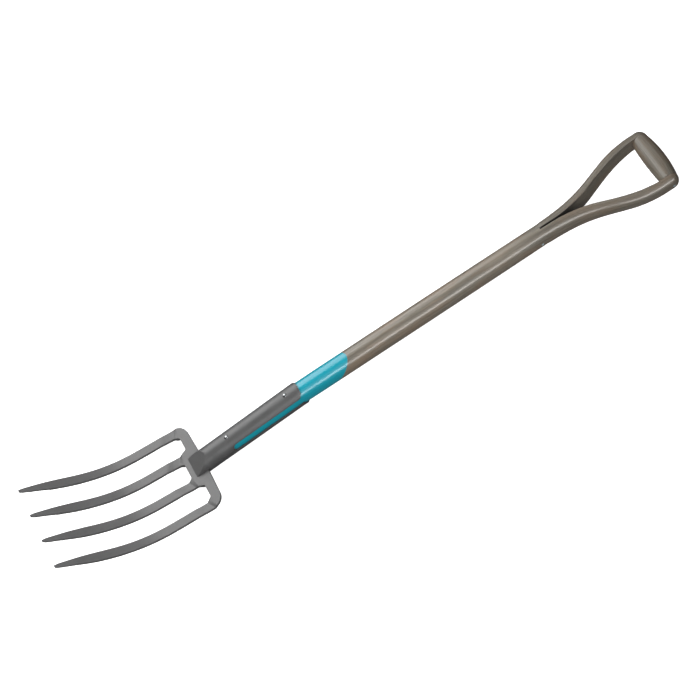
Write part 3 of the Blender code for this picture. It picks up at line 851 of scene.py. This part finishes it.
def head_outline():
    """The whole head seen from the front, before its faces are bent."""
    inner_y, outer_y = TINE_ROOT_Y
    half = TINE_TAPER[-1][1]
    plain = 0.0
    side = [
        (TANG_TOP_X, TANG_HALF, TANG_CORNER_R),
        (PLATE_TOP_X, TANG_HALF, plain),
        (PLATE_TOP_X, TREAD_Y, plain),
        (PLATE_TOP_X - PLATE_FALL, outer_y + half, PLATE_CORNER_R),
    ]
    side += [(x, y, plain) for x, y in tine_outline(1)]
    side += [
        (OUTER_CROTCH[1], outer_y - half, CROTCH_R),
        (PLATE_LOW_X, OUTER_CROTCH[0], CROTCH_R),
        (PLATE_LOW_X, INNER_CROTCH[0], CROTCH_R),
        (INNER_CROTCH[1], inner_y + half, CROTCH_R),
    ]
    side += [(x, y, plain) for x, y in tine_outline(0)]
    side += [(WEB_CROTCH[1], inner_y - half, CROTCH_R), (WEB_LOW_X, WEB_CROTCH[0], CROTCH_R)]
    mirrored = [(x, -y, radius) for x, y, radius in reversed(side)]
    return rounded_outline(side + mirrored)


def fold_z(x, y, which):
    """Front face near one tine: down from the crossbar to a slanted crease, then up again."""
    (start_x, start_slant), (crease_x, crease_slant), curve = (INNER_FOLD, OUTER_FOLD)[which]
    out = abs(y) - (TINE_ROOT_Y[which] - TINE_TAPER[-1][1])
    start = start_x + start_slant * out
    crease = crease_x + crease_slant * out
    low = PLATE_Z - FOLD_DROP
    if x >= start:
        return PLATE_Z
    if x >= crease:
        return PLATE_Z + (low - PLATE_Z) * ((start - x) / (start - crease)) ** curve
    share = min((crease - x) / FOLD_RUN_OUT, 1.0)
    return low * (1.0 - share) + spline_at(TINE_LINE, x, 1) * share


def front_z(x, y):
    """Height of the head's front face: flat crossbar, fold into each tine, then its curve."""
    outward = smooth_share(abs(y), *FOLD_HANDOVER)
    return fold_z(x, y, 0) * (1.0 - outward) + fold_z(x, y, 1) * outward


def knuckle(x, y):
    """Extra depth of the forging near a crotch."""
    extra = 0.0
    for centre_x, centre_y in KNUCKLES:
        away = math.hypot(x - centre_x, abs(y) - centre_y) / KNUCKLE_REACH
        extra = max(extra, KNUCKLE_DEPTH * math.exp(-away * away))
    return extra


def downwards(x):
    """Unit vector (x, z) into the metal, square to the tine's front face."""
    dx = 2.0 * SLOPE_REACH
    dz = spline_at(TINE_LINE, x + SLOPE_REACH, 1) - spline_at(TINE_LINE, x - SLOPE_REACH, 1)
    dz *= smooth_share(x, PLATE_LOW_X, TINE_START_X)
    norm = math.hypot(dx, dz)
    return dz / norm, -dx / norm


def head_cuts():
    """Upright planes (point, normal) that slice the outline finely enough to bend it."""
    tip_x = TINE_LINE[-1][0]
    tine_run = TINE_START_X - tip_x
    tine_count = round(tine_run / TINE_STEP)
    fold_count = round((FOLD_TOP_X - TINE_START_X) / FOLD_STEP)
    xs = [tip_x + CUT_OFFSET + tine_run * i / tine_count for i in range(1, tine_count)]
    xs += [TINE_START_X + CUT_OFFSET + FOLD_STEP * i for i in range(fold_count)]
    cuts = [((x, 0.0, 0.0), (1.0, 0.0, 0.0)) for x in xs]
    for y in HEAD_ROWS:
        cuts += [((0.0, y, 0.0), (0.0, 1.0, 0.0)), ((0.0, -y, 0.0), (0.0, 1.0, 0.0))]
    for which, fold in enumerate((INNER_FOLD, OUTER_FOLD)):
        inner_edge = TINE_ROOT_Y[which] - TINE_TAPER[-1][1]
        for x, slant in fold[:2]:
            for side in (1.0, -1.0):
                cuts.append(((x, side * inner_edge, 0.0), (1.0, -side * slant, 0.0)))
    return cuts


def sliced_head():
    """The head's outline as a flat mesh, sliced by all its cuts."""
    work = bmesh.new()
    work.faces.new([work.verts.new((p.x, p.y, 0.0)) for p in head_outline()])
    for point, normal in head_cuts():
        bmesh.ops.bisect_plane(work, geom=work.verts[:] + work.edges[:] + work.faces[:],
                               dist=CUT_SNAP, plane_co=point, plane_no=normal)
    bmesh.ops.remove_doubles(work, verts=work.verts, dist=CUT_MERGE)
    work.verts.index_update()
    return work


def rim_of(work):
    """Border edges (a, b) of a flat mesh, and the way out of it at each of its points."""
    rim = []
    outward = [Vector((0.0, 0.0)) for _ in work.verts]
    for edge in work.edges:
        if len(edge.link_faces) != 1:
            continue
        loop = edge.link_loops[0]
        a, b = loop.vert, loop.link_loop_next.vert
        run = (b.co - a.co).normalized()
        side = Vector((run.y, -run.x)) * (1.0 if loop.face.normal.z > 0.0 else -1.0)
        rim.append((a.index, b.index))
        outward[a.index] += side
        outward[b.index] += side
    return rim, [way.normalized() for way in outward]


def build_head(material):
    """Crossbar and tines as one forging: a flat outline sliced, thickened and bent.

    Its sides have a waist: upright down to it, then leaning in to the back face.
    """
    work = sliced_head()
    sheet = [vert.co.copy() for vert in work.verts]
    faces = [tuple(vert.index for vert in face.verts) for face in work.faces]
    rim, outward = rim_of(work)
    work.free()

    on_rim = {i for pair in rim for i in pair}
    front = []
    waist = []
    waist_at = {}
    back = []
    for i, point in enumerate(sheet):
        x, y = point.x, point.y
        z = front_z(x, y)
        down_x, down_z = downwards(x)
        tine = smooth_share(x, PLATE_LOW_X, TINE_START_X)
        depth = PLATE_T + (spline_at(TINE_TAPER, back_from_point(x), 2) - PLATE_T) * tine
        depth += knuckle(x, y)
        side = depth * (BAR_SIDE_SHARE + (TINE_SIDE_SHARE - BAR_SIDE_SHARE) * tine)
        inset = BAR_BACK_INSET + (TINE_BACK_SHARE * tine_half_width(x) - BAR_BACK_INSET) * tine
        front.append((x, y, z))
        if i in on_rim:
            waist_at[i] = len(sheet) + len(waist)
            waist.append((x + down_x * side, y, z + down_z * side))
        back.append((x + down_x * depth - outward[i].x * inset, y - outward[i].y * inset,
                     z + down_z * depth))
    back_at = len(sheet) + len(waist)
    skin = faces + [tuple(back_at + i for i in reversed(face)) for face in faces]
    for a, b in rim:
        skin.append((a, b, waist_at[b], waist_at[a]))
        skin.append((waist_at[a], waist_at[b], back_at + b, back_at + a))
    head = new_object("head_forging", front + waist + back, skin)
    round_edges(head, FORGED_EDGE, 32.0)
    shade(head, 50.0)
    return place(head, "fork_head", material)


# ---------------------------------------------------------------- materials

class Nodes:
    """A material's node tree, with one short call for each kind of node."""

    def __init__(self, name):
        self.material = bpy.data.materials.new(name)
        self.material.use_nodes = True
        self.tree = self.material.node_tree
        self.shader = self.tree.nodes["Principled BSDF"]

    def feed(self, socket, value):
        """Link a socket's value to it, or set a plain one."""
        if isinstance(value, bpy.types.NodeSocket):
            self.tree.links.new(value, socket)
        else:
            socket.default_value = value

    def add(self, kind, inputs=(), **settings):
        node = self.tree.nodes.new(kind)
        for key, value in settings.items():
            setattr(node, key, value)
        for key, value in dict(inputs).items():
            self.feed(node.inputs[key], value)
        return node

    def math(self, operation, a, b=0.0):
        return self.add("ShaderNodeMath", {0: a, 1: b}, operation=operation).outputs[0]

    def noise(self, vector, scale, detail, roughness):
        inputs = {"Vector": vector, "Scale": scale, "Detail": detail, "Roughness": roughness}
        return self.add("ShaderNodeTexNoise", inputs).outputs[0]

    def scaled(self, vector, scale):
        return self.add("ShaderNodeMapping", {"Vector": vector, "Scale": scale}).outputs[0]

    def between(self, value, low, high, out_low=0.0, out_high=1.0):
        """Ramp from out_low at low to out_high at high, level past them."""
        inputs = {0: value, 1: low, 2: high, 3: out_low, 4: out_high}
        return self.add("ShaderNodeMapRange", inputs, clamp=True).outputs[0]

    def blend(self, factor, a, b):
        """Colour a where the factor is 0, colour b where it is 1."""
        inputs = {0: factor, 6: a, 7: b}
        return self.add("ShaderNodeMix", inputs, data_type="RGBA").outputs[2]

    def ramp(self, factor, stops):
        node = self.add("ShaderNodeValToRGB", {"Fac": factor})
        elements = node.color_ramp.elements
        while len(elements) < len(stops):
            elements.new(0.5)
        for element, (position, colour) in zip(elements, stops):
            element.position = position
            element.color = colour
        return node.outputs[0]

    def bump(self, height, distance, strength):
        inputs = {"Strength": strength, "Distance": distance, "Height": height}
        return self.add("ShaderNodeBump", inputs).outputs[0]

    def set(self, **inputs):
        """Fill the shader's own sockets, with _ for a space in their names."""
        for key, value in inputs.items():
            self.feed(self.shader.inputs[key.replace("_", " ")], value)


def grey(value):
    return value, value, value, 1.0


def edge_mask(nodes, radius, low, high):
    """1 on rounded edges, 0 on open faces."""
    rounded = nodes.add("ShaderNodeBevel", {"Radius": radius}, samples=6).outputs[0]
    flat = nodes.add("ShaderNodeNewGeometry").outputs["Normal"]
    dot = nodes.add("ShaderNodeVectorMath", {0: rounded, 1: flat}, operation="DOT_PRODUCT")
    return nodes.between(dot.outputs["Value"], high, low)


def powder_coat(name, tone, roughness, wear_tone):
    """Satin grey powder coat on steel: orange peel, faint clouding, edges rubbed paler."""
    nodes = Nodes(name)
    place_at = nodes.add("ShaderNodeTexCoord").outputs["Object"]
    clouds = nodes.noise(place_at, 38.0, 4.0, 0.55)
    speckle = nodes.noise(place_at, 1900.0, 2.0, 0.6)
    peel = nodes.noise(place_at, 620.0, 2.0, 0.45)
    pits = nodes.noise(place_at, 190.0, 3.0, 0.6)
    base = nodes.blend(nodes.between(clouds, 0.3, 0.7), grey(tone * 0.93), grey(tone * 1.06))
    base = nodes.blend(nodes.between(speckle, 0.35, 0.75, 0.0, 0.22), base, grey(tone * 1.35))
    worn = nodes.math("MULTIPLY", edge_mask(nodes, 0.0009, 0.80, 0.985),
                      nodes.between(pits, 0.42, 0.66, 0.10, 0.75))
    base = nodes.blend(worn, base, grey(wear_tone))
    rough = nodes.between(clouds, 0.3, 0.7, roughness - 0.04, roughness + 0.04)
    height = nodes.math("ADD", nodes.math("MULTIPLY", peel, 0.7),
                        nodes.math("MULTIPLY", speckle, 0.3))
    nodes.set(Base_Color=base, Roughness=rough, Metallic=0.0, Specular_IOR_Level=0.50,
              Normal=nodes.bump(height, 0.00006, 0.55))
    return nodes.material


def bright_steel(name, tone, roughness, brushed, metallic):
    """Plated or bare steel: stains in its tone (red, green, blue), scuffs in its roughness."""
    nodes = Nodes(name)
    place_at = nodes.add("ShaderNodeTexCoord").outputs["Object"]
    scuffs = nodes.noise(place_at, 1400.0, 3.0, 0.6)
    stains = nodes.noise(place_at, 420.0, 3.0, 0.5)
    stained = (*[0.82 * part for part in tone], 1.0)
    base = nodes.blend(nodes.between(stains, 0.35, 0.7), stained, (*tone, 1.0))
    rough = nodes.between(scuffs, 0.3, 0.7, roughness - 0.06, roughness + 0.09)
    nodes.set(Base_Color=base, Roughness=rough, Metallic=metallic,
              Normal=nodes.bump(scuffs, 0.00003, brushed))
    return nodes.material


def ash_wood(name, tone, painted, coat):
    """Grey-brown stained ash under satin lacquer.

    The painted piece is also dipped in teal below, has painted shade on its bent arms,
    and painted shade along its saw cut.
    """
    nodes = Nodes(name)
    grain = nodes.add("ShaderNodeAttribute", attribute_name="grain").outputs["Vector"]
    along, across, up = nodes.add("ShaderNodeSeparateXYZ", {"Vector": grain}).outputs

    def stretched(scale_along, scale_across, detail, roughness):
        """Noise drawn out along the grain."""
        scale = (scale_along, scale_across, scale_across)
        return nodes.noise(nodes.scaled(grain, scale), 1.0, detail, roughness)

    def stain_and_shade(red, green, blue):
        return red * tone, green * tone, blue * tone, 1.0

    def layer(base, value, low, high, strength, colour):
        """Blend a colour in as a value rises from low to high."""
        return nodes.blend(nodes.between(value, low, high, 0.0, strength), base, colour)

    drift = stretched(5.0, 40.0, 3.0, 0.5)
    fibre = stretched(16.0, 950.0, 4.0, 0.62)
    streak = stretched(7.0, 260.0, 3.0, 0.55)
    pores = stretched(60.0, 2600.0, 2.0, 0.5)
    mottle = stretched(12.0, 60.0, 3.0, 0.6)

    # growth rings round a pith that lies outside the stick
    off_y = nodes.math("SUBTRACT", across, PITH_Y)
    off_z = nodes.math("SUBTRACT", up, PITH_Z)
    radius = nodes.math("SQRT", nodes.math("ADD", nodes.math("MULTIPLY", off_y, off_y),
                                           nodes.math("MULTIPLY", off_z, off_z)))
    wander = nodes.math("MULTIPLY", nodes.math("SUBTRACT", drift, 0.5), RING_WANDER)
    rings = nodes.math("PINGPONG", nodes.math("ADD", radius, wander), RING_WIDTH)
    rings = nodes.between(rings, 0.0, RING_WIDTH)

    base = nodes.ramp(rings, ((0.0, stain_and_shade(0.140, 0.113, 0.080)),
                              (0.55, stain_and_shade(0.192, 0.166, 0.128)),
                              (1.0, stain_and_shade(0.225, 0.200, 0.160))))
    base = layer(base, streak, 0.38, 0.62, 0.70, stain_and_shade(0.118, 0.112, 0.092))
    base = layer(base, mottle, 0.45, 0.66, 0.62, stain_and_shade(0.230, 0.155, 0.098))
    base = layer(base, fibre, 0.40, 0.62, 0.34, stain_and_shade(0.275, 0.252, 0.208))
    base = layer(base, pores, 0.60, 0.74, 0.55, stain_and_shade(0.070, 0.055, 0.042))

    fine = nodes.math("ADD", nodes.math("MULTIPLY", fibre, 0.7),
                      nodes.math("MULTIPLY", pores, -0.5))
    rough = nodes.between(fibre, 0.3, 0.7, 0.40, 0.54)
    if painted:
        # painted shade: the bent arms darken towards the grip
        arm_shade = stain_and_shade(0.085, 0.070, 0.054)
        base = layer(base, along, ARM_SHADE_START_X, BEND_END_X, 0.40, arm_shade)

        # painted shade darkens the faces of the saw cut and its two edges
        beside = nodes.between(nodes.math("ABSOLUTE", across),
                               SLOT_HALF + SAW_SHADE, SLOT_HALF + SAW_SHADE / 2.0)
        begun = nodes.between(along, SLOT_START_X - SAW_SHADE, SLOT_START_X)
        fading = nodes.between(along, SAW_SHADE_END_X, BEND_END_X, 0.0, 0.85)
        saw_shade = nodes.math("MULTIPLY", nodes.math("MULTIPLY", beside, begun), fading)
        base = nodes.blend(saw_shade, base, stain_and_shade(0.018, 0.017, 0.016))

        # teal paint up to a slanted edge, which strays a little along the streaks
        edge = nodes.math("SUBTRACT", along, nodes.math("MULTIPLY", up, PAINT_SLANT))
        stray = nodes.math("MULTIPLY", nodes.math("SUBTRACT", streak, 0.5), PAINT_EDGE_WANDER)
        edge = nodes.math("ADD", edge, stray)
        mask = nodes.between(edge, PAINT_EDGE_X + PAINT_EDGE_BLUR,
                             PAINT_EDGE_X - PAINT_EDGE_BLUR)
        paint = nodes.blend(nodes.between(fibre, 0.3, 0.7), *TEALS)
        base = nodes.blend(mask, base, paint)
        rough = nodes.add("ShaderNodeMix", {0: mask, 2: rough, 3: PAINT_ROUGHNESS}).outputs[0]
        fine = nodes.math("MULTIPLY", fine, nodes.between(mask, 0.0, 1.0, 1.0, 0.15))
    nodes.set(Base_Color=base, Roughness=rough, Specular_IOR_Level=0.30, Coat_Weight=coat,
              Coat_Roughness=0.20, Normal=nodes.bump(fine, 0.00003, 0.20))
    return nodes.material


def floor_material():
    """Pale paper that glows, so that it looks white from every side."""
    nodes = Nodes("studio_floor")
    place_at = nodes.add("ShaderNodeTexCoord").outputs["Object"]
    clouds = nodes.noise(place_at, 1.5, 2.0, 0.5)
    base = nodes.blend(clouds, grey(FLOOR_TONES[0]), grey(FLOOR_TONES[1]))
    nodes.set(Base_Color=base, Roughness=0.9, Specular_IOR_Level=0.1,
              Emission_Color=grey(1.0), Emission_Strength=FLOOR_GLOW)
    return nodes.material


# ---------------------------------------------------------------- studio

def build_floor():
    """A flat sheet that fills every view and neither lights nor shades the fork."""
    half = FLOOR_HALF
    corners = [(-half, -half, 0.0), (half, -half, 0.0), (half, half, 0.0), (-half, half, 0.0)]
    floor = new_object("floor", corners, [(0, 1, 2, 3)])
    floor.data.materials.append(floor_material())
    floor.visible_glossy = False
    floor.visible_diffuse = False
    floor.visible_shadow = False


def softbox(name, towards, distance, size_x, size_y, power, shift, diffuse, glossy):
    """Rectangular lamp aimed at the origin, then shifted along x as size_x runs."""
    light = bpy.data.lights.new(name, "AREA")
    light.shape = "RECTANGLE"
    light.size = size_x
    light.size_y = size_y
    light.energy = power
    lamp = bpy.data.objects.new(name, light)
    bpy.context.scene.collection.objects.link(lamp)
    direction = Vector(towards).normalized()
    up = direction.cross(Vector((1.0, 0.0, 0.0))).normalized()
    side = up.cross(direction)
    turn = Matrix((side, up, direction)).transposed().to_4x4()
    centre = direction * distance + Vector((shift, 0.0, 0.0))
    lamp.matrix_world = Matrix.Translation(centre) @ turn
    lamp.visible_diffuse = diffuse
    lamp.visible_glossy = glossy


def build_lights():
    """All lamps, and a faint even light from the world."""
    for lamp in LAMPS:
        softbox(*lamp)
    world = bpy.data.worlds.new("studio")
    world.use_nodes = True
    background = world.node_tree.nodes["Background"]
    background.inputs["Color"].default_value = grey(1.0)
    background.inputs["Strength"].default_value = WORLD_STRENGTH
    bpy.context.scene.world = world


def build_camera():
    """Camera that looks at its target from a given azimuth and elevation, rolled."""
    azimuth = math.radians(CAMERA_AZIMUTH)
    elevation = math.radians(CAMERA_ELEVATION)
    roll = math.radians(CAMERA_ROLL)
    back = Vector((math.sin(azimuth) * math.cos(elevation),
                   -math.cos(azimuth) * math.cos(elevation), math.sin(elevation)))
    level = Vector((math.cos(azimuth), math.sin(azimuth), 0.0))
    upright = back.cross(level)
    right = level * math.cos(roll) + upright * math.sin(roll)
    up = back.cross(right)
    turn = Matrix((right, up, back)).transposed().to_4x4()
    data = bpy.data.cameras.new("camera")
    data.lens = CAMERA_LENS
    data.sensor_width = CAMERA_SENSOR
    data.clip_start, data.clip_end = CAMERA_CLIP
    camera = bpy.data.objects.new("camera", data)
    bpy.context.scene.collection.objects.link(camera)
    eye = Vector(CAMERA_TARGET) + back * CAMERA_DISTANCE
    camera.matrix_world = FORK @ Matrix.Translation(eye) @ turn
    bpy.context.scene.camera = camera


# ---------------------------------------------------------------- assembly

def build_fork():
    """Every piece, with the material it is made of."""
    head_coat = powder_coat("head_coat", tone=0.085, roughness=0.38, wear_tone=0.22)
    # painted shade: the straps get darker copies of the head's coat, the rear strap the darkest
    strap_coat = powder_coat("strap_coat", tone=0.072, roughness=0.40, wear_tone=0.18)
    rear_coat_with_painted_shade = powder_coat("rear_strap_coat", tone=0.055, roughness=0.35, wear_tone=0.15)
    shaft_wood = ash_wood("stained_ash", tone=0.91, painted=True, coat=0.52)
    # painted shade: the grip's ash is a darker copy of the shaft's
    grip_wood = ash_wood("grip_ash", tone=0.70, painted=False, coat=0.35)
    zinc = bright_steel("zinc_pin", tone=(0.50, 0.60, 0.64), roughness=0.30, brushed=0.5,
                        metallic=0.30)
    rivet_steel = bright_steel("rivet_steel", tone=(0.34, 0.35, 0.36), roughness=0.22,
                               brushed=0.3, metallic=1.0)

    build_shaft(shaft_wood)
    build_grip(grip_wood)
    build_cross_pin("rod_pin", "grip_rod", GRIP_X, ROD_R, ARM_OUTER_Y + ROD_PROUD, zinc)
    build_cross_pin("split_pin", "split_rivet", SPLIT_RIVET_X, SPLIT_RIVET_R,
                    SLOT_START_R + SPLIT_RIVET_PROUD, zinc)
    for node, x in RIVET_X.items():
        build_strap_rivet(node, x, rivet_steel)
    nose = (NOSE_X, PLATE_Z + SEAM_GAP, *NOSE_TOP)
    heel = (HEEL_X, PLATE_Z - PLATE_T - SEAM_GAP, *HEEL_TOP)
    build_strap("front_strap_shell", "front_strap", 1.0, NOSE_X, nose, front_edge, FRONT_TONGUE,
                strap_coat)
    build_strap("rear_strap_shell", "rear_strap", -1.0, HEEL_X, heel, rear_edge, REAR_TONGUE,
                rear_coat_with_painted_shade)
    build_head(head_coat)


bpy.context.scene.view_settings.view_transform = "Standard"
build_fork()
build_floor()
build_lights()
build_camera()
